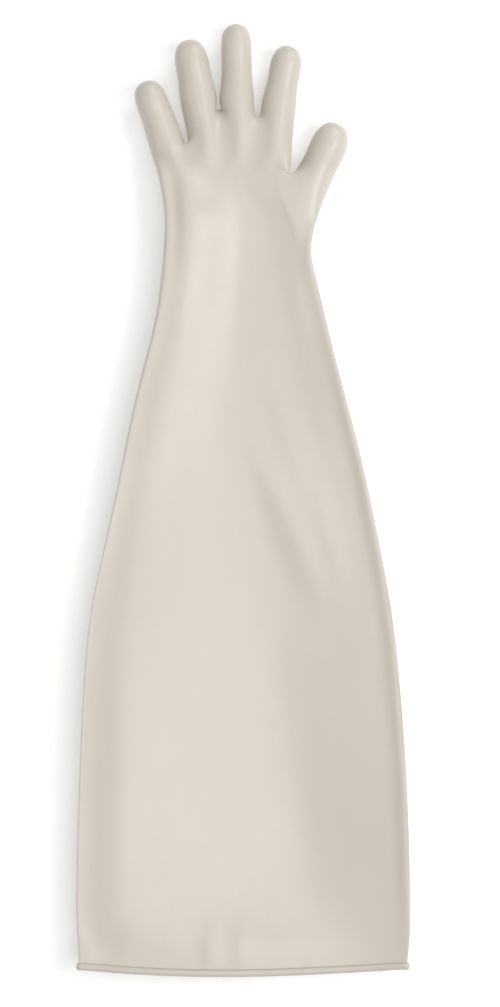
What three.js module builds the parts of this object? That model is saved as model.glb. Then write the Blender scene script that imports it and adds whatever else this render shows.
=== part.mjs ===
// A long-sleeved chemical-resistant glove for the port of a glove box, lying palm up on a flat surface.
// It is dipped in one seamless skin of rubber: five fingers, a palm, a wrist and a sleeve that widens to an
// open cuff. The cuff's edge is rolled into a thick bead, which grips the ring of the port.
// +X is the thumb's side, +Y runs from the cuff to the fingertips and +Z is up. All sizes are millimetres.
// The origin is on the surface, under the middle of the glove.

import * as THREE from "three";

// Driving dimensions.
const WALL = 1; // thickness of the skin
const LENGTH = 813; // from the bead to the middle fingertip
const CUFF_WIDTH = 278; // of the skin across the flattened cuff, inside the bead
const BEAD = { out: 2.9, ahead: 3.3, behind: 3.2 }; // reach from the middle of the skin's edge, each way
const SEAT = { gap: 0.4, depth: 2.6 }; // clearance round the skin's edge in the bead, and how far in it goes

// Each ring of the skin has three points for each finger across the upper wall, the same across the lower
// wall, and one on each side.
const COLUMNS = 12;
const RING = 2 * COLUMNS + 2;

const CUFF_Y = -LENGTH / 2 + BEAD.ahead;
const CUFF_BOW = 6.6; // how far the middle of the cuff's edge lies beyond its corners

// A table with named columns, as a list of rows.
const table = (columns, rows) =>
  rows.map((row) => Object.fromEntries(row.map((value, i) => [columns[i], value])));

// The sleeve, wrist and palm, a row for each ring from the cuff up. left and right are the outline, and turn and
// under are how wide a side fold is in plan, above and below. foot and base are the heights of the underside at
// the folds and at its middle. tops are the heights of the upper wall at five places from left to right: it is
// high on the left, falls to a hollow and rises again to the right fold.
const SECTIONS = table(
  ["y", "left", "right", "turn", "under", "foot", "base", "tops"],
  [
    [CUFF_Y + CUFF_BOW, -CUFF_WIDTH / 2, CUFF_WIDTH / 2, 4, 9, 4.4, 2.9, [23, 27.5, 30, 31, 27]],
    [-376, -139.5, 140.7, 4, 10, 1.2, 1, [27, 29, 28, 28.5, 31]],
    [-340, -140.6, 141.2, 4, 11, 0, 0, [29.5, 29, 21, 20.5, 33]],
    [-235, -138, 138, 4, 11, 0, 0, [31, 31, 21, 21, 33.5]],
    [-121, -131.5, 129, 4, 11, 0, 0, [32.5, 32, 21.5, 21.5, 32]],
    [-52, -119.7, 118.2, 4, 11, 0, 0, [33.5, 33, 23.5, 22.5, 30.5]],
    [20, -104.4, 103.9, 5, 11, 0, 0, [35.5, 33.5, 24.5, 23, 30]],
    [85, -91.2, 88.1, 6, 11, 0, 0, [37, 34, 25, 23, 29]],
    [143, -76.9, 73.2, 7, 9, 1, 0, [39, 34, 25.5, 25.5, 29.5]],
    [188, -69.6, 62.6, 8, 8, 3, 4, [39.5, 35.5, 28, 27.5, 31]],
    [224, -66.8, 59.1, 8, 8, 4, 4, [38, 37.5, 30, 28.5, 32]],
    [251, -67.5, 50.2, 8, 8, 4, 4, [37.5, 38.5, 31.5, 30, 33]],
    [277.5, -72.5, 40.4, 9, 9, 4, 4, [35.5, 35, 31.5, 31, 32.5]],
  ],
);
const SIDE_DROP = 0.3; // the outline lies this share of the height below the top of a fold
// The rows of SECTIONS whose right side opens into the thumb.
const THUMB_ROWS = [10, 11, 12];

// The digits. root is the ring at the palm, and the rows after it lead to the middle of the rounded tip.
// Each is a point on the digit's axis, its radius and, at the root, its half height and the turn of its row.
const DIGITS = {
  little: {
    root: { x: -64.5, y: 302.5, z: 17, radius: 15.2, half_height: 14, turn: 8 },
    rows: [
      { x: -70.4, y: 319.8, z: 18.5, radius: 14.6 },
      { x: -80.1, y: 344.3, z: 25, radius: 13.2 },
    ],
  },
  ring: {
    root: { x: -32.8, y: 317.5, z: 17, radius: 15, half_height: 14.5, turn: 30 },
    rows: [
      { x: -39.4, y: 350, z: 18.5, radius: 15.2 },
      { x: -45.3, y: 379.2, z: 24, radius: 13.4 },
    ],
  },
  middle: {
    root: { x: -3.6, y: 325, z: 17, radius: 15, half_height: 14.5, turn: 0 },
    rows: [
      { x: -5, y: 355, z: 17.5, radius: 13.6 },
      { x: -5.9, y: 394.3, z: 21, radius: 12.4 },
    ],
  },
  index: {
    root: { x: 28.4, y: 320, z: 17, radius: 16, half_height: 14.5, turn: -28 },
    rows: [
      { x: 32.3, y: 350, z: 17.5, radius: 13.8 },
      { x: 37.2, y: 375.3, z: 21.5, radius: 12.9 },
    ],
  },
  thumb: {
    rows: [
      { x: 60.3, y: 276.6, z: 18, radius: 15.9 },
      { x: 68.1, y: 292, z: 19.5, radius: 15.3 },
      { x: 75.5, y: 307.5, z: 22, radius: 14.8 },
    ],
  },
};
// Where the skin crosses the gaps between the fingers: one point beside each of a gap's two fingers.
const WEBS = [
  { gap: "little to ring", left: [-50, 307, 16], right: [-47.2, 309.5, 16] },
  { gap: "ring to middle", left: [-22.8, 334.5, 16], right: [-18.8, 335.5, 16] },
  { gap: "middle to index", left: [10.4, 330.5, 16], right: [14.4, 330, 16] },
];
const TIP_LATITUDE = 48; // degrees up the rounded tip, where its last ring lies

// Soft ridges and hollows of the upper wall: each runs from one point to another and dies away at its ends.
const FOLDS = [
  { name: "sleeve hollow", from: [-4, -10], to: [80, -445], height: -3.5, width: 32 },
  { name: "long wrist ridge", from: [-14, 108], to: [85, -124], height: 4.5, width: 15 },
  { name: "short wrist ridge", from: [6, 152], to: [81, -76], height: 3, width: 13 },
  { name: "little finger side ridge", from: [-47, 165], to: [-118, -48], height: 3.5, width: 28 },
  { name: "thumb side ridge", from: [54, 57], to: [91, -106], height: 1.5, width: 10 },
  { name: "palm hollow", from: [-5, 311], to: [-9, 75], height: -6.5, width: 17 },
  { name: "palm crest", from: [-68, 365], to: [-62, 55], height: 3, width: 30 },
  { name: "thumb side hollow", from: [0, 292], to: [72, 55], height: -4, width: 30 },
];
const PRESSED = 0.4; // the lower wall is flat on the surface wherever it would be lower than this
const FIT_ROUNDS = 60; // steps that bring the smooth skin to the places in the tables

const RUBBER = new THREE.MeshStandardMaterial({ color: 0xdad3c8, roughness: 0.45, metalness: 0 });
const BEAD_RUBBER = new THREE.MeshStandardMaterial({ color: 0xd3cabc, roughness: 0.45, metalness: 0 });

const radians = THREE.MathUtils.degToRad;
const point = (x, y, z) => new THREE.Vector3(x, y, z);
const mix = (a, b, share) => a.clone().lerp(b, share);
const sum = (list) => list.reduce((total, p) => total.add(p), point(0, 0, 0));
const average = (list) => sum(list).divideScalar(list.length);

// Where each point of a ring lies in its list. It starts at the left end of the upper wall and goes over it
// to the right side, back along the lower wall and up to the left side.
const upper = (column) => column;
const RIGHT = COLUMNS;
const lower = (column) => 2 * COLUMNS - column;
const LEFT = RING - 1;
// The knuckle ring also has two points in each gap between fingers, kept after the others.
const webLeft = (gap) => RING + 2 * gap;
const webRight = (gap) => RING + 2 * gap + 1;

// A smooth curve through evenly spaced heights, at a place from -1 to 1.
function heightAt(heights, aside) {
  const places = heights.map((_, i) => (2 * i) / (heights.length - 1) - 1);
  return heights.reduce((total, height, i) => {
    const shares = places.filter((_, n) => n !== i).map((p) => (aside - p) / (places[i] - p));
    return total + shares.reduce((product, share) => product * share, height);
  }, 0);
}

// One ring of the sleeve, wrist or palm, as a list of the points that the skin passes through.
function sectionRing(row, bow = 0) {
  const ring = [];
  const middle = (row.left + row.right) / 2;
  const half = (row.right - row.left) / 2;
  for (let column = 0; column < COLUMNS; column++) {
    const aside = (2 * column) / (COLUMNS - 1) - 1;
    const inner = 1 - aside ** 2;
    const y = row.y - bow * inner;
    const bottom = row.foot + (row.base - row.foot) * inner;
    ring[upper(column)] = point(middle + (half - row.turn) * aside, y, heightAt(row.tops, aside));
    ring[lower(column)] = point(middle + (half - row.under) * aside, y, bottom);
  }
  const fold = (top) => THREE.MathUtils.lerp(top, row.foot, SIDE_DROP);
  ring[RIGHT] = point(row.right, row.y, fold(row.tops[row.tops.length - 1]));
  ring[LEFT] = point(row.left, row.y, fold(row.tops[0]));
  return ring;
}

// A ring of a digit: it starts at the digit's right side, goes over its top to the left and back beneath.
function digitRing(centre, side, rise, count) {
  const ring = [];
  for (let i = 0; i < count; i++) {
    const angle = (2 * Math.PI * i) / count;
    ring.push(
      centre.clone().addScaledVector(side, Math.cos(angle)).addScaledVector(rise, Math.sin(angle)),
    );
  }
  return ring;
}

// The rings of a digit beyond its root, and the point at the end of its tip.
function digitRings(root, rows) {
  const count = root.length;
  const centres = rows.map((row) => point(row.x, row.y, row.z));
  const placed = rows.map((row, i) => {
    const before = i > 0 ? centres[i - 1] : average(root);
    const after = i < rows.length - 1 ? centres[i + 1] : centres[i];
    const along = after.clone().sub(before).normalize();
    const side = point(along.y, -along.x, 0).normalize();
    const rise = side.clone().cross(along);
    return { along, side, rise, radius: row.radius, centre: centres[i] };
  });
  const rings = placed.map(({ centre, side, rise, radius }) =>
    digitRing(centre, side.clone().multiplyScalar(radius), rise.clone().multiplyScalar(radius), count),
  );
  const tip = placed[placed.length - 1];
  const shrunk = tip.radius * Math.cos(radians(TIP_LATITUDE));
  const ahead = tip.radius * Math.sin(radians(TIP_LATITUDE));
  const last = digitRing(
    tip.centre.clone().addScaledVector(tip.along, ahead),
    tip.side.clone().multiplyScalar(shrunk),
    tip.rise.clone().multiplyScalar(shrunk),
    count,
  );
  const end = tip.centre.clone().addScaledVector(tip.along, tip.radius);
  return { rings: [...rings, last], end };
}

// The coarse cage: points that the skin passes through, and faces of four points that look outwards.
function wantedCage() {
  const points = [];
  const faces = [];
  const add = (p) => points.push(p) - 1;

  // The thumb's opening takes the place of one point on the right side.
  const inThumb = (r, i) => r === THUMB_ROWS[1] && i === RIGHT;
  const rings = SECTIONS.map((row, r) =>
    sectionRing(row, r === 0 ? CUFF_BOW : 0).map((p, i) => (inThumb(r, i) ? null : add(p))),
  );
  const palm = rings[rings.length - 1];

  // The knuckle ring is made of the webs and the four fingers' roots.
  const knuckles = [];
  WEBS.forEach(({ left, right }, gap) => {
    knuckles[webLeft(gap)] = add(point(...left));
    knuckles[webRight(gap)] = add(point(...right));
  });
  const roots = ["little", "ring", "middle", "index"].map((name, i) => {
    const first = 3 * i;
    const { x, y, z, radius, half_height, turn } = DIGITS[name].root;
    const overTop = [2, 1, 0].map((n) => upper(first + n));
    const beneath = [0, 1, 2].map((n) => lower(first + n));
    const right = name === "index" ? RIGHT : webLeft(i);
    const left = name === "little" ? LEFT : webRight(i - 1);
    const order = [right, ...overTop, left, ...beneath];
    const across = point(Math.cos(radians(turn)), Math.sin(radians(turn)), 0).multiplyScalar(radius);
    const placed = digitRing(point(x, y, z), across, point(0, 0, half_height), order.length);
    return order.map((place, n) => {
      knuckles[place] ??= add(placed[n]);
      return knuckles[place];
    });
  });
  const between = palm.map((index, i) => add(mix(points[index], points[knuckles[i]], 0.5)));
  rings.push(between, knuckles);

  // The skin between the rings, less the faces that open into the thumb.
  const thumbFaces = [upper(COLUMNS - 1), RIGHT];
  for (let r = 0; r + 1 < rings.length; r++) {
    for (let i = 0; i < RING; i++) {
      if (THUMB_ROWS.includes(r) && THUMB_ROWS.includes(r + 1) && thumbFaces.includes(i)) continue;
      const next = (i + 1) % RING;
      faces.push([rings[r][i], rings[r][next], rings[r + 1][next], rings[r + 1][i]]);
    }
  }
  WEBS.forEach((_, gap) => {
    const column = 3 * gap + 2;
    const left = knuckles[webLeft(gap)];
    const right = knuckles[webRight(gap)];
    faces.push([knuckles[upper(column)], knuckles[upper(column + 1)], right, left]);
    faces.push([left, right, knuckles[lower(column + 1)], knuckles[lower(column)]]);
  });

  const [low, mid, high] = THUMB_ROWS.map((r) => rings[r]);
  const over = upper(COLUMNS - 1);
  const under = lower(COLUMNS - 1);
  const thumbRoot = [
    low[RIGHT],
    low[over],
    mid[over],
    high[over],
    high[RIGHT],
    high[under],
    mid[under],
    low[under],
  ];

  const digits = [...roots, thumbRoot];
  Object.values(DIGITS).forEach(({ rows }, d) => {
    let ring = digits[d];
    const made = digitRings(ring.map((i) => points[i]), rows);
    for (const next of made.rings) {
      const added = next.map(add);
      ring.forEach((index, i) => {
        const beside = (i + 1) % ring.length;
        faces.push([index, added[i], added[beside], ring[beside]]);
      });
      ring = added;
    }
    const end = add(made.end);
    for (let i = 0; i < ring.length; i += 2) {
      faces.push([end, ring[(i + 2) % ring.length], ring[i + 1], ring[i]]);
    }
  });
  return { points, faces };
}

// Each point's neighbours: along edges, across faces, and along the open edge of the cuff.
function neighbours({ points, faces }) {
  const found = points.map(() => ({ edges: new Set(), across: [], faces: [], rim: [] }));
  const uses = new Map();
  faces.forEach((face, f) => {
    face.forEach((a, i) => {
      const b = face[(i + 1) % 4];
      found[a].edges.add(b);
      found[b].edges.add(a);
      found[a].across.push(face[(i + 2) % 4]);
      found[a].faces.push(f);
      const key = a < b ? `${a} ${b}` : `${b} ${a}`;
      uses.set(key, [...(uses.get(key) ?? []), f]);
    });
  });
  for (const [key, users] of uses) {
    if (users.length !== 1) continue;
    const [a, b] = key.split(" ").map(Number);
    found[a].rim.push(b);
    found[b].rim.push(a);
  }
  return { found, uses };
}

// Where a Catmull-Clark surface ends up at each point of its cage.
function settled(mesh, { found }) {
  return mesh.points.map((p, i) => {
    const { edges, across, rim } = found[i];
    if (rim.length) return sum(rim.map((n) => mesh.points[n])).addScaledVector(p, 4).divideScalar(6);
    const n = edges.size;
    return sum(across.map((k) => mesh.points[k]))
      .addScaledVector(sum([...edges].map((k) => mesh.points[k])), 4)
      .addScaledVector(p, n * n)
      .divideScalar(n * (n + 5));
  });
}

// Moves the cage's points until the smooth skin passes through the places that were wanted.
function fittedCage(wanted) {
  const near = neighbours(wanted);
  let points = wanted.points.map((p) => p.clone());
  for (let round = 0; round < FIT_ROUNDS; round++) {
    const reached = settled({ points }, near);
    points = points.map((p, i) => p.add(wanted.points[i]).sub(reached[i]));
  }
  return { points, faces: wanted.faces };
}

// One Catmull-Clark step: every face becomes four.
function subdivided(mesh) {
  const { found, uses } = neighbours(mesh);
  const centres = mesh.faces.map((face) => average(face.map((i) => mesh.points[i])));
  const points = mesh.points.map((p, i) => {
    const { edges, faces, rim } = found[i];
    if (rim.length) return sum(rim.map((k) => mesh.points[k])).addScaledVector(p, 6).divideScalar(8);
    const n = faces.length;
    const middles = average([...edges].map((k) => mix(p, mesh.points[k], 0.5)));
    return average(faces.map((f) => centres[f]))
      .addScaledVector(middles, 2)
      .addScaledVector(p, n - 3)
      .divideScalar(n);
  });
  const middle = new Map();
  for (const [key, users] of uses) {
    const ends = key.split(" ").map((i) => mesh.points[Number(i)]);
    const near = users.length === 2 ? [...ends, ...users.map((f) => centres[f])] : ends;
    middle.set(key, points.push(average(near)) - 1);
  }
  const faces = [];
  mesh.faces.forEach((face, f) => {
    const centre = points.push(centres[f]) - 1;
    const along = (a, b) => middle.get(a < b ? `${a} ${b}` : `${b} ${a}`);
    face.forEach((corner, i) => {
      const next = face[(i + 1) % 4];
      const before = face[(i + 3) % 4];
      faces.push([corner, along(corner, next), centre, along(before, corner)]);
    });
  });
  return { points, faces };
}

// Which way the skin faces at each point.
function normals({ points, faces }) {
  const total = points.map(() => point(0, 0, 0));
  for (const [a, b, c, d] of faces) {
    const across = points[c].clone().sub(points[a]);
    const turn = across.cross(points[d].clone().sub(points[b]));
    for (const i of [a, b, c, d]) total[i].add(turn);
  }
  return total.map((n) => n.normalize());
}

// How far the folds lift the upper wall at a place.
function foldHeight(x, y) {
  return FOLDS.reduce((height, fold) => {
    const from = new THREE.Vector2(...fold.from);
    const way = new THREE.Vector2(...fold.to).sub(from);
    const off = new THREE.Vector2(x, y).sub(from);
    const along = off.dot(way) / way.lengthSq();
    const aside = off.cross(way) / way.length() / fold.width;
    const fade = along > 0 && along < 1 ? Math.sin(Math.PI * along) ** 2 : 0;
    return height + fold.height * fade * Math.exp(-(aside ** 2));
  }, 0);
}

function foldUpperWall(mesh) {
  const facing = normals(mesh);
  mesh.points.forEach((p, i) => {
    p.z += foldHeight(p.x, p.y) * THREE.MathUtils.smoothstep(facing[i].z, 0.2, 0.8);
  });
}

// The lower wall lies flat wherever it is about to touch the surface.
function pressFlat(mesh) {
  for (const p of mesh.points) if (p.z < PRESSED) p.z = 0;
}

// The points round the open edge of the skin, in order, each with the point behind it in the skin.
function openEdge(mesh) {
  const { found } = neighbours(mesh);
  const start = found.findIndex(({ rim }) => rim.length);
  const loop = [start];
  let next = found[start].rim[0];
  while (next !== start) {
    loop.push(next);
    next = found[next].rim.find((i) => i !== loop[loop.length - 2]);
  }
  return loop.map((at) => ({ at, behind: [...found[at].edges].find((i) => !found[i].rim.length) }));
}

// A mesh of triangles: each face of four points is split along its shorter diagonal.
function geometryOf(points, quads) {
  const triangles = quads.flatMap(([a, b, c, d]) => {
    const shorter = points[a].distanceToSquared(points[c]) < points[b].distanceToSquared(points[d]);
    return shorter ? [a, b, c, a, c, d] : [b, c, d, b, d, a];
  });
  const geometry = new THREE.BufferGeometry().setFromPoints(points);
  geometry.setIndex(triangles);
  geometry.computeVertexNormals();
  return geometry;
}

// The hollow skin: its outer surface, the same surface one wall further in, and the rim that joins them.
function skinGeometry(outer, inward) {
  const count = outer.points.length;
  const quads = [...outer.faces, ...outer.faces.map((face) => face.map((i) => i + count).reverse())];
  const used = new Set();
  for (const face of outer.faces) {
    face.forEach((a, i) => used.add(`${a} ${face[(i + 1) % 4]}`));
  }
  for (const key of used) {
    const [a, b] = key.split(" ").map(Number);
    if (!used.has(`${b} ${a}`)) quads.push([b, a, a + count, b + count]);
  }
  return geometryOf([...outer.points, ...inward], quads);
}

// The rolled bead: a rounded ring with a slot that the skin's edge sits in, led round the open edge.
function beadGeometry(outer, inward) {
  const slot = WALL / 2 + SEAT.gap;
  const { out, ahead, behind } = BEAD;
  const half = [
    [slot, SEAT.gap],
    [slot, -SEAT.depth],
    [out * 0.66, -behind],
    [out * 0.98, -behind * 0.66],
    [out, -behind * 0.1],
    [out * 0.76, ahead * 0.62],
    [out * 0.3, ahead],
  ];
  const profile = [...half, ...half.map(([across, along]) => [-across, along]).reverse()];
  const loop = openEdge(outer);
  const points = loop.flatMap(({ at, behind: back }) => {
    const end = mix(outer.points[at], inward[at], 0.5);
    const across = outer.points[at].clone().sub(inward[at]).normalize();
    const along = end.clone().sub(mix(outer.points[back], inward[back], 0.5));
    along.addScaledVector(across, -along.dot(across)).normalize();
    return profile.map(([a, b]) => end.clone().addScaledVector(across, a).addScaledVector(along, b));
  });
  const size = profile.length;
  const quads = loop.flatMap((_, s) =>
    profile.map((_, i) => {
      const next = (s + 1) % loop.length;
      const beside = (i + 1) % size;
      return [s * size + i, s * size + beside, next * size + beside, next * size + i];
    }),
  );
  return geometryOf(points, quads);
}

function named(name, geometry, material) {
  const mesh = new THREE.Mesh(geometry, material);
  mesh.name = name;
  return mesh;
}

const fine = subdivided(fittedCage(wantedCage()));
fine.points = settled(fine, neighbours(fine));
foldUpperWall(fine);
pressFlat(fine);
const facing = normals(fine);
const inward = fine.points.map((p, i) => p.clone().addScaledVector(facing[i], -WALL));

const glove = new THREE.Group();
glove.add(named("glove_skin", skinGeometry(fine, inward), RUBBER));
glove.add(named("cuff_bead", beadGeometry(fine, inward), BEAD_RUBBER));

export default glove;
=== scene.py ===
# %% [markdown]
# # A long rubber glove for a glove box
# This lesson makes a long-sleeved glove that lies empty on a table, with its palm up. The real glove is
# made by dipping a hand-shaped former into liquid rubber, so it has no seams: it is one thin skin, with a
# bead that is rolled up round the cuff while the rubber is still soft. The measured model of the glove is
# loaded first. It fixes the sizes, and each new piece lies where its part of that model does. All lengths
# in the tables are millimetres, and Blender works in metres.

# %% Load the measured model
import math

import bmesh
import bpy
import numpy as np
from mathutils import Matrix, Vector


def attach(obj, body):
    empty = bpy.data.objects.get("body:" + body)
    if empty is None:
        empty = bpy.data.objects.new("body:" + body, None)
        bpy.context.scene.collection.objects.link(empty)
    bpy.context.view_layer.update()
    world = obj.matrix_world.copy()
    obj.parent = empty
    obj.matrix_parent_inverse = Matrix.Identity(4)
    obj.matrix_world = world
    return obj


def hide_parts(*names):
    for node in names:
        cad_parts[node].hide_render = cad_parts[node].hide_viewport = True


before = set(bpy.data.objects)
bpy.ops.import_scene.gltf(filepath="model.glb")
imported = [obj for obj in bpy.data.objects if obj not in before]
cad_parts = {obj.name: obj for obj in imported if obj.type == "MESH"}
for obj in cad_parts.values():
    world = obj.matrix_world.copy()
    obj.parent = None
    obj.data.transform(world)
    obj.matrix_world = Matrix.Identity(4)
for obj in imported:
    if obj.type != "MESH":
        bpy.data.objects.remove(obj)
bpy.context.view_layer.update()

MM = 0.001

# %% [markdown]
# ## The camera
# The photograph looks straight down at the glove. A real photographer would stand a camera on a high arm,
# with a long lens, so that the raised fingers and the flat sleeve keep the same scale. A Blender camera
# that isn't turned already looks straight down, so it only needs its place and its lens.

# %% Camera
CAMERA_PLACE = (0.0060, -0.0027, 2.0)
TABLE_SEEN = 0.8694  # metres of the table from the top of the picture to its bottom
SENSOR = 36

bpy.ops.object.camera_add(location=CAMERA_PLACE, rotation=(0, 0, 0))
camera = bpy.context.object
camera.name = "camera"
camera.data.sensor_width = SENSOR
camera.data.lens = SENSOR * CAMERA_PLACE[2] / TABLE_SEEN
bpy.context.scene.camera = camera
print("lens:", round(camera.data.lens, 1), "mm")

# %% [markdown]
# ## Writing a material as a sum
# A material is a net of small nodes. Wired by hand it soon becomes hard to read, so a small class stands
# for one output of a node. Adding, subtracting or multiplying it makes the Math nodes, and one method
# makes any other node from its type, its settings and what goes into its sockets.


# %% A socket that can be added and multiplied
class Value:
    """One output of a shader node."""

    def __init__(self, socket):
        self.socket = socket

    def node(self, kind, settings=None, inputs=None, output=0):
        """Makes a node in the same material, and gives one of its outputs."""
        tree = self.socket.id_data
        made = tree.nodes.new(kind)
        for name, setting in (settings or {}).items():
            if name == "stops":
                fill_ramp(made.color_ramp, setting)
            else:
                setattr(made, name, setting)
        for name, value in (inputs or {}).items():
            if isinstance(value, Value):
                tree.links.new(value.socket, made.inputs[name])
            else:
                made.inputs[name].default_value = value
        return Value(made.outputs[output])

    def math(self, operation, first, second=0.0):
        return self.node("ShaderNodeMath", {"operation": operation}, {0: first, 1: second})

    def __add__(self, other):
        return self.math("ADD", self, other)

    def __radd__(self, other):
        return self.math("ADD", other, self)

    def __sub__(self, other):
        return self.math("SUBTRACT", self, other)

    def __rsub__(self, other):
        return self.math("SUBTRACT", other, self)

    def __mul__(self, other):
        return self.math("MULTIPLY", self, other)

    def __rmul__(self, other):
        return self.math("MULTIPLY", other, self)


def fill_ramp(ramp, stops):
    """Sets a colour ramp's stops: each is a place from 0 to 1 and a grey."""
    while len(ramp.elements) < len(stops):
        ramp.elements.new(0.5)
    for element, (place, grey) in zip(ramp.elements, stops):
        element.position = place
        element.color = (grey, grey, grey, 1)


def new_material(name):
    """A new material: its shader node, and the place on the object as a Value."""
    material = bpy.data.materials.new(name)
    material.use_nodes = True
    shader = material.node_tree.nodes["Principled BSDF"]
    start = Value(shader.outputs[0])
    place = start.node("ShaderNodeTexCoord", output="Object")
    return material, shader, place


def feed(shader, name, value):
    """Leads a value into one of the shader's sockets."""
    shader.id_data.links.new(value.socket, shader.inputs[name])


def set_constants(shader, constants):
    """Puts values that are the same everywhere on the shader's own sockets."""
    for name, value in constants.items():
        shader.inputs[name].default_value = value


def noise(place, scale, detail):
    """A grey noise, with about scale lumps in each metre of the place that it is given."""
    return place.node("ShaderNodeTexNoise", inputs={"Vector": place, "Scale": scale, "Detail": detail})


# %% [markdown]
# ## The table and the light
# The glove was photographed on a plain pale ground with no hard shadow. In a studio that is white board
# and large soft boxes. The strongest one stands on the thumb's side. It leaves the little finger's side
# of each finger in shade and draws a bright line along the other side. One box near the cuff and one
# beyond the fingertips spread that light along the glove, and two weak ones, overhead and on the little
# finger's side, soften the shade. The board itself glows a little, in place of the light that white walls
# would send back up from it.


# %% Floor
FLOOR_SIDE = 12  # metres
BOARD = {
    "Base Color": (0.9, 0.9, 0.9, 1),
    "Roughness": 0.9,
    "Specular IOR Level": 0.1,
    "Emission Color": (1, 1, 1, 1),
    "Emission Strength": 0.26,
}


def floor_material():
    material, shader, place = new_material("pale_board")
    grain = noise(place, scale=400.0, detail=3.0)
    relief = place.node("ShaderNodeBump", inputs={"Height": grain, "Strength": 0.05, "Distance": 0.0005})
    feed(shader, "Normal", relief)
    set_constants(shader, BOARD)
    return material


bpy.ops.mesh.primitive_plane_add(size=FLOOR_SIDE, location=(0, 0, 0))
floor = bpy.context.object
floor.name = "floor"
floor.data.materials.append(floor_material())

# %% Soft boxes
BOX_SIDE = 1.0  # metres
BOX_DISTANCE = 2.3  # metres from the middle of the glove
# tilt is how far a box leans from straight above, in degrees. turn is its direction, in degrees
# anticlockwise from the thumb's side.
SOFT_BOXES = [  # name, tilt, turn, watts
    ("thumb_side_box", 38, 0, 16),
    ("cuff_side_box", 25, 300, 10.5),
    ("fingertip_box", 52, 60, 10.9),
    ("overhead_box", 0, 0, 4.4),
    ("little_finger_side_box", 52, 180, 3.2),
]


def soft_box(name, tilt, turn, watts):
    """A square lamp that shines at the middle of the glove."""
    tilt, turn = math.radians(tilt), math.radians(turn)
    way = Vector((math.sin(tilt) * math.cos(turn), math.sin(tilt) * math.sin(turn), math.cos(tilt)))
    bpy.ops.object.light_add(type="AREA", location=way * BOX_DISTANCE)
    lamp = bpy.context.object
    lamp.name = name
    lamp.rotation_euler = (-way).to_track_quat("-Z", "Y").to_euler()
    lamp.data.shape = "SQUARE"
    lamp.data.size = BOX_SIDE
    lamp.data.energy = watts


for row in SOFT_BOXES:
    soft_box(*row)
print(len(SOFT_BOXES), "soft boxes")

# %% Light of the room
ROOM_STRENGTH = 0.375

world = bpy.data.worlds.new("soft_room")
world.use_nodes = True
room = world.node_tree.nodes["Background"]
room.inputs["Color"].default_value = (1, 1, 1, 1)
room.inputs["Strength"].default_value = ROOM_STRENGTH
bpy.context.scene.world = world
bpy.context.scene.view_settings.view_transform = "Standard"

# %% [markdown]
# ## How the glove is built
# The skin could be sculpted from a lump, but then its walls and its ring sizes would be guesses. It could
# also be a stack of ready-made tubes, but the webs between the fingers would be hard corners. Here it is
# modelled as a coarse cage of four-sided faces, which a Subdivision Surface turns into one smooth skin,
# as dipped rubber is: a ring at the cuff is extruded along the sleeve to the knuckles, and each finger is
# extruded from there.

# %% Sizes of the sleeve, wrist and palm
# One row for each ring, from the cuff up. left and right are the outline. turn and under are how far in
# from it the upper and the lower wall begin. foot and base are the heights of the underside at the folds
# and at the middle. tops are the heights of the upper wall at five places from left to right: it is high
# on the left, falls to a hollow and rises again to the right fold.
CUFF = -403.2
CUFF_BOW = 6.6  # the middle of the cuff's edge lies this far beyond its corners
SECTION_NAMES = ("y", "left", "right", "turn", "under", "foot", "base", "tops")
SECTIONS = [
    (CUFF + CUFF_BOW, -139, 139, 4, 9, 4.8, 3.3, (29.5, 28, 24.5, 21.5, 27.5)),
    (-376, -139.5, 140.7, 4, 10, 1.2, 1, (30, 29, 25, 22.5, 31)),
    (-340, -140.6, 141.2, 4, 11, 0, 0, (32, 29, 20.5, 20.5, 33)),
    (-235, -138, 138, 4, 11, 0, 0, (33.5, 30.8, 20.5, 21, 33.5)),
    (-121, -131.5, 129, 4, 11, 0, 0, (35, 31.8, 21, 21.5, 32)),
    (-52, -119.7, 118.2, 4, 11, 0, 0, (36, 32.8, 23, 22.5, 30.5)),
    (20, -104.4, 103.9, 5, 11, 0, 0, (37.5, 33.3, 24, 23, 30)),
    (85, -91.2, 88.1, 6, 11, 0, 0, (38.5, 33.8, 24.7, 23, 29)),
    (143, -76.9, 73.2, 7, 9, 1, 0, (39.5, 33.8, 25.5, 25.5, 29.5)),
    (188, -69.6, 62.6, 8, 8, 3, 4, (39.5, 35.5, 28, 27.5, 31)),
    (224, -66.8, 59.1, 8, 8, 4, 4, (38, 37.5, 30, 28.5, 32)),
    (251, -67.5, 50.2, 8, 8, 4, 4, (37.5, 38.5, 31.5, 30, 33)),
    (277.5, -72.5, 40.4, 9, 9, 4, 4, (35.5, 35, 31.5, 31, 32.5)),
]
SIDE_DROP = 0.14  # the outline lies this share of the height below the top of a fold
PER_FINGER = 3  # points of the upper wall that each finger grows from
COLUMNS = 4 * PER_FINGER  # points across the upper wall, and as many across the lower wall
RING = 2 * COLUMNS + 2  # and one point on each side
RIGHT, LEFT = COLUMNS, RING - 1


def under(column):
    """Where in a ring the lower wall's point below an upper one is."""
    return 2 * COLUMNS - column


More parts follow.
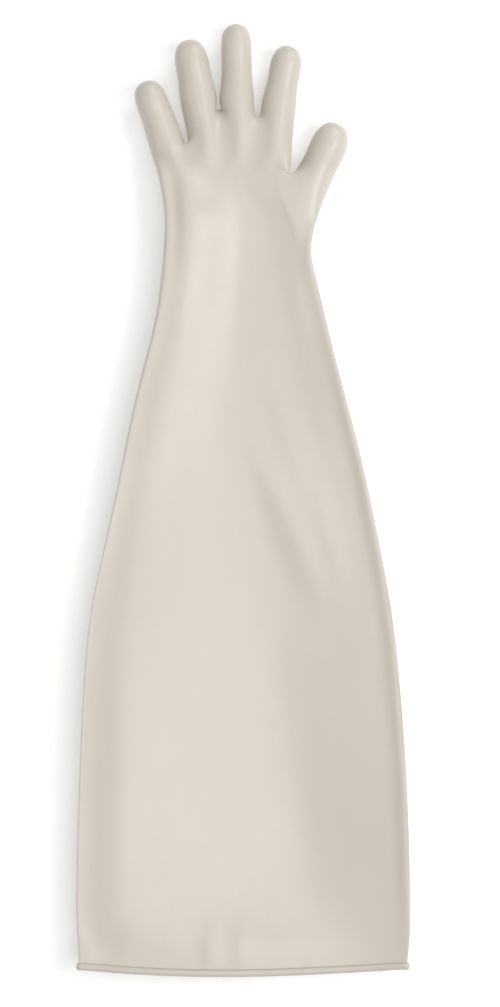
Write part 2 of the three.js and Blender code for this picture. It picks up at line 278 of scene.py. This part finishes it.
def section_ring(row, bow=0.0):
    """The places of one ring: over the upper wall from left to right, and back along the lower wall."""
    size = dict(zip(SECTION_NAMES, row))
    share = np.linspace(0, 1, COLUMNS)
    aside = 2 * share - 1
    middle = (size["left"] + size["right"]) / 2
    half = (size["right"] - size["left"]) / 2
    along = size["y"] - bow * (1 - aside**2)
    known = np.linspace(-1, 1, len(size["tops"]))
    top = np.polyval(np.polyfit(known, size["tops"], len(known) - 1), aside)
    bottom = size["foot"] + (size["base"] - size["foot"]) * (1 - aside**2)
    folds = top[[0, -1]] * (1 - SIDE_DROP) + size["foot"] * SIDE_DROP
    over = np.stack([middle + (half - size["turn"]) * aside, along, top], 1)
    below = np.stack([middle + (half - size["under"]) * aside, along, bottom], 1)[::-1]
    left = [[size["left"], size["y"], folds[0]]]
    right = [[size["right"], size["y"], folds[1]]]
    return np.concatenate([over, right, below, left]) * MM


rings = [section_ring(row, CUFF_BOW if row is SECTIONS[0] else 0.0) for row in SECTIONS]
print(len(rings), "rings of", RING, "points")

# %% Sizes of the fingers
# The root is the oval that a finger grows from: its middle, half its width, half its height and its turn
# in degrees. Each row after it is a point on the finger's axis and the radius there. The last one is the
# middle of the round tip.
FINGERS = {
    "little": (
        (-64.5, 302.5, 17, 15.2, 14, 8),
        [(-70.1, 319.8, 18.5, 14.5), (-74.8, 332.3, 21.5, 13.8), (-79.5, 344.6, 25, 13.1)],
    ),
    "ring": (
        (-32.8, 317.5, 17, 15, 14.5, 30),
        [(-37.9, 342, 17.6, 15.6), (-41.2, 361, 20.5, 14.6), (-44.8, 379.2, 24, 13.7)],
    ),
    "middle": (
        (-3.6, 325, 17, 15, 14.5, 0),
        [(-5.3, 342, 17.3, 14.8), (-5.3, 359, 18, 13.4), (-5.6, 377, 19.3, 12.9), (-5.9, 394.3, 21, 12.4)],
    ),
    "index": (
        (28.4, 320, 17, 16, 14.5, -28),
        [(30.8, 340, 17.2, 14.7), (33.9, 357.5, 18.8, 13.2), (37.2, 375.3, 21.5, 12.8)],
    ),
}
THUMB = [(60.2, 276.4, 18, 15.9), (68, 291.9, 19.5, 15.3), (75.2, 307.6, 22, 14.9)]
THUMB_RINGS = (10, 11, 12)  # the thumb grows from the side between these rings
# Where the skin crosses between two fingers: the middle of its left side and of its right side.
WEBS = np.array(
    [
        [(-50, 307, 16), (-47.2, 309.5, 16)],
        [(-22.8, 334.5, 16), (-18.8, 335.5, 16)],
        [(10.4, 330.5, 16), (14.4, 330, 16)],
    ]
) * MM
AROUND = 8  # points round a finger
TIP_LATITUDE = math.radians(48)  # where the last ring lies on the round tip


def oval(centre, side, rise):
    """Eight places round a finger: from its right side over the top to the left, and back beneath."""
    angles = np.arange(AROUND) * 2 * math.pi / AROUND
    return centre + np.outer(np.cos(angles), side) + np.outer(np.sin(angles), rise)


def finger_rings(root, rows):
    """The rings of a finger beyond its root, and the place of its tip."""
    centres = [np.array(row[:3]) * MM for row in rows]
    before = [root.mean(0)] + centres[:-1]
    after = centres[1:] + centres[-1:]
    found = []
    for centre, back, ahead, row in zip(centres, before, after, rows):
        along = (ahead - back) / np.linalg.norm(ahead - back)
        side = np.array([along[1], -along[0], 0]) / np.linalg.norm(along[:2])
        rise = np.cross(side, along)
        radius = row[3] * MM
        found.append(oval(centre, side * radius, rise * radius))
    shrunk = radius * math.cos(TIP_LATITUDE)
    found.append(oval(centre + along * radius * math.sin(TIP_LATITUDE), side * shrunk, rise * shrunk))
    return found, centre + along * radius


knuckles = np.zeros((RING, 3))
ovals = []
for number, (root, _) in enumerate(FINGERS.values()):
    x, y, z, half_width, half_height, turn = root
    turn = math.radians(turn)
    across = np.array([math.cos(turn), math.sin(turn), 0]) * half_width * MM
    ring = oval(np.array([x, y, z]) * MM, across, np.array([0, 0, half_height]) * MM)
    columns = [PER_FINGER * number + step for step in range(PER_FINGER)]
    knuckles[columns[::-1]] = ring[1:4]
    knuckles[[under(column) for column in columns]] = ring[5:8]
    ovals.append(ring)
knuckles[RIGHT] = ovals[-1][0]
knuckles[LEFT] = ovals[0][4]
between = (rings[-1] + knuckles) / 2
rings += [between, knuckles]

# %% [markdown]
# ## Picking points by their place
# In the viewport a ring of edges is picked with the mouse. In a script it is picked by where it is: the
# places of a ring are known from the tables, so the nearest points are looked up and the edges between
# them are selected. Extruding leaves the new points on top of the old ones and selected, so each is then
# moved to its own place.


# %% Helpers for edit mode
def edited():
    """The mesh that is open in edit mode."""
    mesh = bmesh.from_edit_mesh(bpy.context.object.data)
    mesh.verts.ensure_lookup_table()
    return mesh


def nearest(verts, places):
    """For each place, the vert that lies nearest to it."""
    where = np.array([vert.co for vert in verts])
    gaps = np.linalg.norm(where[None] - np.asarray(places)[:, None], axis=2)
    return [verts[k] for k in gaps.argmin(1)]


def select_ring(places):
    """Selects the edges that join a closed ring of places, and nothing else."""
    bpy.ops.mesh.select_mode(type="EDGE")
    bpy.ops.mesh.select_all(action="DESELECT")
    mesh = edited()
    ring = nearest(list(mesh.verts), places)
    for vert, after in zip(ring, ring[1:] + ring[:1]):
        mesh.edges.get([vert, after]).select_set(True)
    bmesh.update_edit_mesh(bpy.context.object.data)


def select_points(places):
    """Selects the points at these places, and nothing else."""
    bpy.ops.mesh.select_mode(type="VERT")
    bpy.ops.mesh.select_all(action="DESELECT")
    mesh = edited()
    for vert in nearest(list(mesh.verts), places):
        vert.select_set(True)
    mesh.select_flush_mode()
    bmesh.update_edit_mesh(bpy.context.object.data)


def move_selected(start, end):
    """Moves each selected point, which lies at one of the start places, to the matching end place."""
    mesh = edited()
    selected = [vert for vert in mesh.verts if vert.select]
    for vert in selected:
        gaps = np.linalg.norm(np.asarray(start) - np.array(vert.co), axis=1)
        vert.co = end[gaps.argmin()]
    bmesh.update_edit_mesh(bpy.context.object.data)


def extrude_ring(ring, places):
    """Extrudes a ring of edges, and puts the new ring at its places."""
    select_ring(ring)
    bpy.ops.mesh.extrude_region_move()
    move_selected(ring, places)
    return places


# %% [markdown]
# ## The sleeve and the palm
# The start is a circle of as many points as a ring has, at the cuff. Its points are set on the cuff's
# flat oval, and then it is extruded ring by ring, as a tube is pulled out of its own edge, up to the row
# of knuckles.

# %% Sleeve and palm
START_RADIUS = 140

bpy.ops.object.select_all(action="DESELECT")
bpy.ops.mesh.primitive_circle_add(vertices=RING, radius=START_RADIUS * MM, location=(0, CUFF * MM, 0))
skin = bpy.context.object
skin.name = "glove_rubber"
bpy.ops.object.transform_apply(location=True, rotation=True, scale=True)
circle = np.array([vert.co for vert in skin.data.vertices])
bpy.ops.object.mode_set(mode="EDIT")
move_selected(circle, rings[0])
for ring, after in zip(rings, rings[1:]):
    extrude_ring(ring, after)
print("sleeve and palm:", len(edited().faces), "faces")

# %% [markdown]
# ## The webs between the fingers
# Where two fingers part, the skin crosses from the palm to the back of the hand. One face closes each
# gap, and its two upright edges are cut in the middle, which gives the web the soft saddle that it has on
# the former.

# %% Webs
for gap, web in enumerate(WEBS):
    column = PER_FINGER * (gap + 1) - 1
    top = knuckles[[column, column + 1]]
    bottom = knuckles[[under(column), under(column + 1)]]
    select_points(np.concatenate([top, bottom]))
    bpy.ops.mesh.edge_face_add()
    bpy.ops.mesh.select_mode(type="EDGE")
    bpy.ops.mesh.select_all(action="DESELECT")
    mesh = edited()
    for upper, lower in zip(nearest(list(mesh.verts), top), nearest(list(mesh.verts), bottom)):
        mesh.edges.get([upper, lower]).select_set(True)
    bmesh.update_edit_mesh(skin.data)
    bpy.ops.mesh.subdivide(number_cuts=1)
    select_points((top + bottom) / 2)
    move_selected((top + bottom) / 2, web)
print("with webs:", len(edited().faces), "faces")

# %% [markdown]
# ## The fingers and the thumb
# Each finger now has a root of eight edges: over the top, down its own side of one web, beneath, and up
# the next. It is extruded along the finger's axis, and a grid of four faces closes the round tip. The
# thumb has no root yet. Deleting one point on the palm's side opens the four faces round it, and their
# outline is its root.


# %% Fingers
def grow_finger(root, rows):
    """Extrudes a finger from the eight places of its root, and closes its tip."""
    found, tip = finger_rings(root, rows)
    ring = root
    for after in found:
        ring = extrude_ring(ring, after)
    select_ring(ring)
    bpy.ops.mesh.fill_grid(span=2)
    select_points([ring.mean(0)])
    move_selected([ring.mean(0)], [tip])
    return tip


for number, (name, (root, rows)) in enumerate(FINGERS.items()):
    first = PER_FINGER * number
    right = knuckles[RIGHT] if name == "index" else WEBS[number][0]
    left = knuckles[LEFT] if name == "little" else WEBS[number - 1][1]
    over = knuckles[[first + 2, first + 1, first]]
    beneath = knuckles[[under(first), under(first + 1), under(first + 2)]]
    tip = grow_finger(np.concatenate([[right], over, [left], beneath]), rows)
    print(name, "finger's tip at", np.round(tip, 4))

# %% Thumb
low, middle, high = (rings[number] for number in THUMB_RINGS)
over, beneath = COLUMNS - 1, under(COLUMNS - 1)
select_points([middle[RIGHT]])
bpy.ops.mesh.delete(type="VERT")
above = [low[RIGHT], low[over], middle[over], high[over]]
below = [high[RIGHT], high[beneath], middle[beneath], low[beneath]]
thumb_root = np.array(above + below)
tip = grow_finger(thumb_root, THUMB)
bpy.ops.mesh.select_all(action="SELECT")
bpy.ops.mesh.normals_make_consistent(inside=False)
bpy.ops.object.mode_set(mode="OBJECT")
print("thumb's tip at", np.round(tip, 4), "and", len(skin.data.polygons), "faces in the cage")

# %% [markdown]
# ## Making the smooth skin pass through the measured points
# A Subdivision Surface pulls away from its cage, most of all at narrow fingertips, so the glove would
# come out too small. A modeller would drag points outwards by eye. Here each point is pushed out by as
# much as the smooth skin misses its wanted place, again and again, until the miss is gone.

# %% Fit the cage
FIT_ROUNDS = 60


def coordinates(mesh, count=None):
    """The places of a mesh's points, as an array."""
    places = np.empty(len(mesh.vertices) * 3)
    mesh.vertices.foreach_get("co", places)
    return places.reshape(-1, 3)[:count]


def set_coordinates(mesh, places):
    """Moves a mesh's points to these places."""
    mesh.vertices.foreach_set("co", places.ravel())
    mesh.update()


def smoothed(piece, count):
    """Where the modifiers take the first points of a piece."""
    bpy.context.view_layer.update()
    found = piece.evaluated_get(bpy.context.evaluated_depsgraph_get())
    return coordinates(found.data, count)


smooth = skin.modifiers.new("smooth skin", "SUBSURF")
smooth.levels = smooth.render_levels = 1
wanted = coordinates(skin.data)
cage = wanted.copy()
for _ in range(FIT_ROUNDS):
    cage += wanted - smoothed(skin, len(wanted))
    set_coordinates(skin.data, cage)
miss = np.linalg.norm(wanted - smoothed(skin, len(wanted)), axis=1)
print("largest miss:", round(float(miss.max()) / MM, 3), "mm")

# %% Smooth skin
SKIN_LEVELS = 3
smooth.levels = smooth.render_levels = SKIN_LEVELS
bpy.ops.object.select_all(action="DESELECT")
skin.select_set(True)
bpy.context.view_layer.objects.active = skin
bpy.ops.object.modifier_apply(modifier=smooth.name)
bpy.ops.object.shade_smooth()
print("smooth skin:", len(skin.data.polygons), "faces")

# %% [markdown]
# ## Soft folds
# Empty rubber keeps soft ridges and hollows where its weight pulls it. A sculptor would draw them with a
# wide brush. Each row of this table is such a stroke: a line on the upper wall, with a width, and a
# height that is less than nothing for a hollow. The stroke dies away at both ends. Two narrow rims follow
# the sleeve's sides, where the skin is folded back on itself and stands up a little.

# %% Folds
FOLDS = [  # name, start, end, height, width
    ("sleeve hollow", (-4, -10), (80, -445), -3.5, 32),
    ("long wrist ridge", (-14, 108), (85, -124), 4.5, 15),
    ("short wrist ridge", (6, 152), (81, -76), 3, 13),
    ("little finger side ridge", (-47, 165), (-118, -48), 3.5, 28),
    ("thumb side ridge", (54, 57), (91, -106), 1.5, 10),
    ("palm hollow", (-5, 311), (-9, 75), -3, 20),
    ("palm crest", (-68, 365), (-62, 55), 2, 30),
    ("thumb side hollow", (0, 292), (72, 55), -4, 30),
    ("cuff fold", (-141, -342), (-130, -412), 1.2, 8),
    ("cuff valley", (-98, -356), (-125, -404), -0.7, 8),
    ("left ripple", (-24, -345), (-30, -412), 1.4, 7),
    ("right ripple", (0, -345), (-3, -412), 1.0, 7),
]
RIMS = [  # side, how far in from it the rim lies, height, width
    ("left", 3.0, 0.8, 8.0),
    ("right", 3.0, 2.4, 5.0),
]
RIM_SPAN = (-396, 150)  # where the rims begin and end along the glove
RIM_FADE = 6  # at each end a rim dies away over one part in six of its length
LEAN_FROM, LEAN_SPAN = 0.2, 0.6  # how far up the skin must face for a stroke to start, and to be whole


def normals(mesh):
    """The directions that a mesh's points face, as an array."""
    found = np.empty(len(mesh.vertices) * 3)
    mesh.vertices.foreach_get("normal", found)
    return found.reshape(-1, 3)


def stroke_height(places, start, end, height, width):
    """How far one stroke lifts each place."""
    start, end = np.array(start) * MM, np.array(end) * MM
    way = end - start
    off = places[:, :2] - start
    along = off @ way / (way @ way)
    aside = (off[:, 0] * way[1] - off[:, 1] * way[0]) / np.linalg.norm(way) / (width * MM)
    fade = np.sin(math.pi * np.clip(along, 0, 1)) ** 2
    return height * MM * fade * np.exp(-(aside**2))


def rim_height(places, side, inset, height, width):
    """How far a ridge that follows one side's outline lifts each place."""
    table = np.array([(row[0], row[SECTION_NAMES.index(side)]) for row in SECTIONS]) * MM
    outline = np.interp(places[:, 1], table[:, 0], table[:, 1])
    aside = (np.abs(outline - places[:, 0]) - inset * MM) / (width * MM)
    along = (places[:, 1] - RIM_SPAN[0] * MM) / ((RIM_SPAN[1] - RIM_SPAN[0]) * MM)
    fade = np.clip(np.minimum(along, 1 - along) * RIM_FADE, 0, 1)
    return height * MM * fade * np.exp(-(aside**2))


places = coordinates(skin.data)
lean = np.clip((normals(skin.data)[:, 2] - LEAN_FROM) / LEAN_SPAN, 0, 1)
upward = lean * lean * (3 - 2 * lean)
for name, start, end, height, width in FOLDS:
    lift = stroke_height(places, start, end, height, width) * upward
    places[:, 2] += lift
    print(name, "reaches", round(float(np.abs(lift).max()) / MM, 1), "mm")
for side, inset, height, width in RIMS:
    places[:, 2] += rim_height(places, side, inset, height, width) * upward
set_coordinates(skin.data, places)

# %% [markdown]
# ## Resting on the table and getting a wall
# Where the sleeve is heavy its lower wall lies flat on the table, so what would dip below it is pressed
# flat. The skin is still a sheet with no thickness. Solidify gives it a wall towards the inside, so the
# outer size stays.

# %% Lower wall and thickness
WALL = 1.0
PRESSED = 1.2  # below this height the lower wall bends towards the table

places = coordinates(skin.data)
height = places[:, 2]
share = np.clip(height / (PRESSED * MM), 0, 1)
eased = PRESSED * MM * (2 * share**2 - share**3)
places[:, 2] = np.where(height < PRESSED * MM, eased, height)
set_coordinates(skin.data, places)
print("lowest point:", round(float(places[:, 2].min()), 5), "m")

# %% [markdown]
# ## The bead round the cuff
# On the real glove the cuff's edge is rolled up into a cord of rubber that grips the ring of the port.
# The edge of the skin is copied, and that loop is extruded through the rounded outline of the bead, with
# a slot that the skin's edge sits in. The two ends of the outline are bridged, and the bead is closed.

# %% Loop at the skin's edge
bpy.ops.object.mode_set(mode="EDIT")
bpy.ops.mesh.select_mode(type="EDGE")
bpy.ops.mesh.select_all(action="DESELECT")
mesh = edited()
open_edges = [edge for edge in mesh.edges if edge.is_boundary]
edge_points, edge_facing, edge_ahead = [], [], []
vert, edge = open_edges[0].verts[0], open_edges[0]
while len(edge_points) < len(open_edges):
    inner = [other.other_vert(vert) for other in vert.link_edges if not other.is_boundary][0]
    facing = np.array(vert.normal)
    ahead = np.array(vert.co - inner.co)
    ahead -= facing * (ahead @ facing)
    edge_points.append(np.array(vert.co) - facing * WALL * MM / 2)
    edge_facing.append(facing)
    edge_ahead.append(ahead / np.linalg.norm(ahead))
    vert = edge.other_vert(vert)
    edge = [other for other in vert.link_edges if other.is_boundary and other != edge][0]
for edge in open_edges:
    edge.select_set(True)
bmesh.update_edit_mesh(skin.data)
edge_points, edge_facing, edge_ahead = (np.array(part) for part in (edge_points, edge_facing, edge_ahead))
print("loop of", len(edge_points), "points")

bpy.ops.mesh.duplicate()
bpy.ops.mesh.separate(type="SELECTED")
bpy.ops.object.mode_set(mode="OBJECT")
bead = [piece for piece in bpy.context.selected_objects if piece != skin][0]
bead.name = "cuff_roll"
bpy.ops.object.select_all(action="DESELECT")

# %% Wall of the skin
skin.select_set(True)
bpy.context.view_layer.objects.active = skin
wall = skin.modifiers.new("wall", "SOLIDIFY")
wall.thickness = WALL * MM
wall.offset = -1
bpy.ops.object.modifier_apply(modifier=wall.name)
print("skin with its wall:", len(skin.data.polygons), "faces")

# %% Outline of the bead
BEAD_OUT, BEAD_AHEAD, BEAD_BEHIND = 2.9, 3.3, 3.2  # its reach across the skin, ahead of its edge and back
BEAD_SQUARE = 0.7  # under 1, the outline is fuller than an ellipse
SLOT_GAP, SLOT_DEPTH = 0.4, 2.6
SLOT = WALL / 2 + SLOT_GAP
SLOT_LIP = 0.35  # the outline keeps at least this far off the slot
FRONT = 0.45  # half the flat of the bead's front
ARC = 9  # steps in a quarter of the outline

angles = np.linspace(-90, 90, 2 * ARC + 1)[1:-1]
outside = [
    (
        BEAD_OUT * math.cos(math.radians(angle)) ** BEAD_SQUARE,
        (BEAD_AHEAD if angle > 0 else BEAD_BEHIND) * math.sin(math.radians(angle)),
    )
    for angle in angles
]
half = [(SLOT, SLOT_GAP), (SLOT, -SLOT_DEPTH * 0.5), (SLOT, -SLOT_DEPTH)]
half += [(across, along) for across, along in outside if across > SLOT + SLOT_LIP]
half.append((FRONT, BEAD_AHEAD))
outline = half + [(-across, along) for across, along in reversed(half)]
print("outline of", len(outline), "points")


# %% Bead
def bead_ring(across, along):
    """The places of the ring that passes through one point of the outline."""
    return edge_points + (edge_facing * across + edge_ahead * along) * MM


bead.select_set(True)
bpy.context.view_layer.objects.active = bead
bpy.ops.object.mode_set(mode="EDIT")
bpy.ops.mesh.select_mode(type="VERT")
bpy.ops.mesh.select_all(action="SELECT")
ring = bead_ring(*outline[0])
move_selected(edge_points, ring)
for step in outline[1:]:
    ring = extrude_ring(ring, bead_ring(*step))
bpy.ops.mesh.select_mode(type="EDGE")
bpy.ops.mesh.select_all(action="DESELECT")
mesh = edited()
for edge in mesh.edges:
    edge.select_set(edge.is_boundary)
bmesh.update_edit_mesh(bead.data)
bpy.ops.mesh.bridge_edge_loops()
bpy.ops.mesh.select_all(action="SELECT")
bpy.ops.mesh.normals_make_consistent(inside=False)
bpy.ops.object.mode_set(mode="OBJECT")
bpy.ops.object.shade_smooth()
print("bead:", len(bead.data.polygons), "faces")

# %% [markdown]
# ## Rubber
# The glove is off-white synthetic rubber with a soft, satin gloss. A single colour would look like
# plaster, so three things are laid over it: slow clouds of warmer and greyer rubber, faint lengthwise
# runs from the dipping, and a very fine skin texture in the relief. The gloss changes a little with the
# clouds.


# %% Rubber material
GLOSS, GLOSS_CHANGE = 0.34, 0.3  # the roughness, and how much of it the clouds change
RUN_STRETCH = (70.0, 3.0, 70.0)  # the runs are thin across the glove and long along it
SHADE_STOPS = [(0.35, 0.0), (0.65, 1.0)]
RUBBER = {"Specular IOR Level": 0.5, "IOR": 1.5}
FINISHES = {  # the paler and the warmer colour
    "satin_rubber": ((0.655, 0.61, 0.54), (0.635, 0.588, 0.512)),
    "rolled_rubber": ((0.62, 0.575, 0.505), (0.6, 0.55, 0.475)),
}


def rubber(name, pale, warm):
    material, shader, place = new_material(name)
    clouds = noise(place, scale=9.0, detail=3.0)
    mottle = noise(place, scale=120.0, detail=4.0)
    stretched = place.node(
        "ShaderNodeMapping", {"vector_type": "POINT"}, {"Vector": place, "Scale": RUN_STRETCH}
    )
    runs = noise(stretched, scale=1.0, detail=2.0)
    pores = noise(place, scale=900.0, detail=2.0)
    shade = clouds * 0.6 + mottle * 0.2 + runs * 0.2  # the shares add up to 1
    spread = place.node("ShaderNodeValToRGB", {"stops": SHADE_STOPS}, {"Fac": shade})
    colour = place.node(
        "ShaderNodeMix",
        {"data_type": "RGBA"},
        {"Factor": spread, 6: (*pale, 1), 7: (*warm, 1)},
        output=2,
    )
    feed(shader, "Base Color", colour)
    feed(shader, "Roughness", GLOSS + (shade - 0.5) * GLOSS_CHANGE)
    height = pores * 0.15 + mottle * 0.35 + runs * 0.5
    relief = place.node("ShaderNodeBump", inputs={"Height": height, "Strength": 0.3, "Distance": 0.0006})
    feed(shader, "Normal", relief)
    set_constants(shader, RUBBER)
    return material


for piece, name in ((skin, "satin_rubber"), (bead, "rolled_rubber")):
    piece.data.materials.clear()
    piece.data.materials.append(rubber(name, *FINISHES[name]))
    print(piece.name, "has", piece.data.materials[0].name)

# %% [markdown]
# ## Handing the pieces over
# Each piece moves with the root body of the measured model, and the part of that model that it stands for
# is hidden.

# %% Hand over
for piece, node, finish in ((skin, "glove_skin", "rubber_skin"), (bead, "cuff_bead", "rubber_bead")):
    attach(piece, "root")
    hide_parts(node)
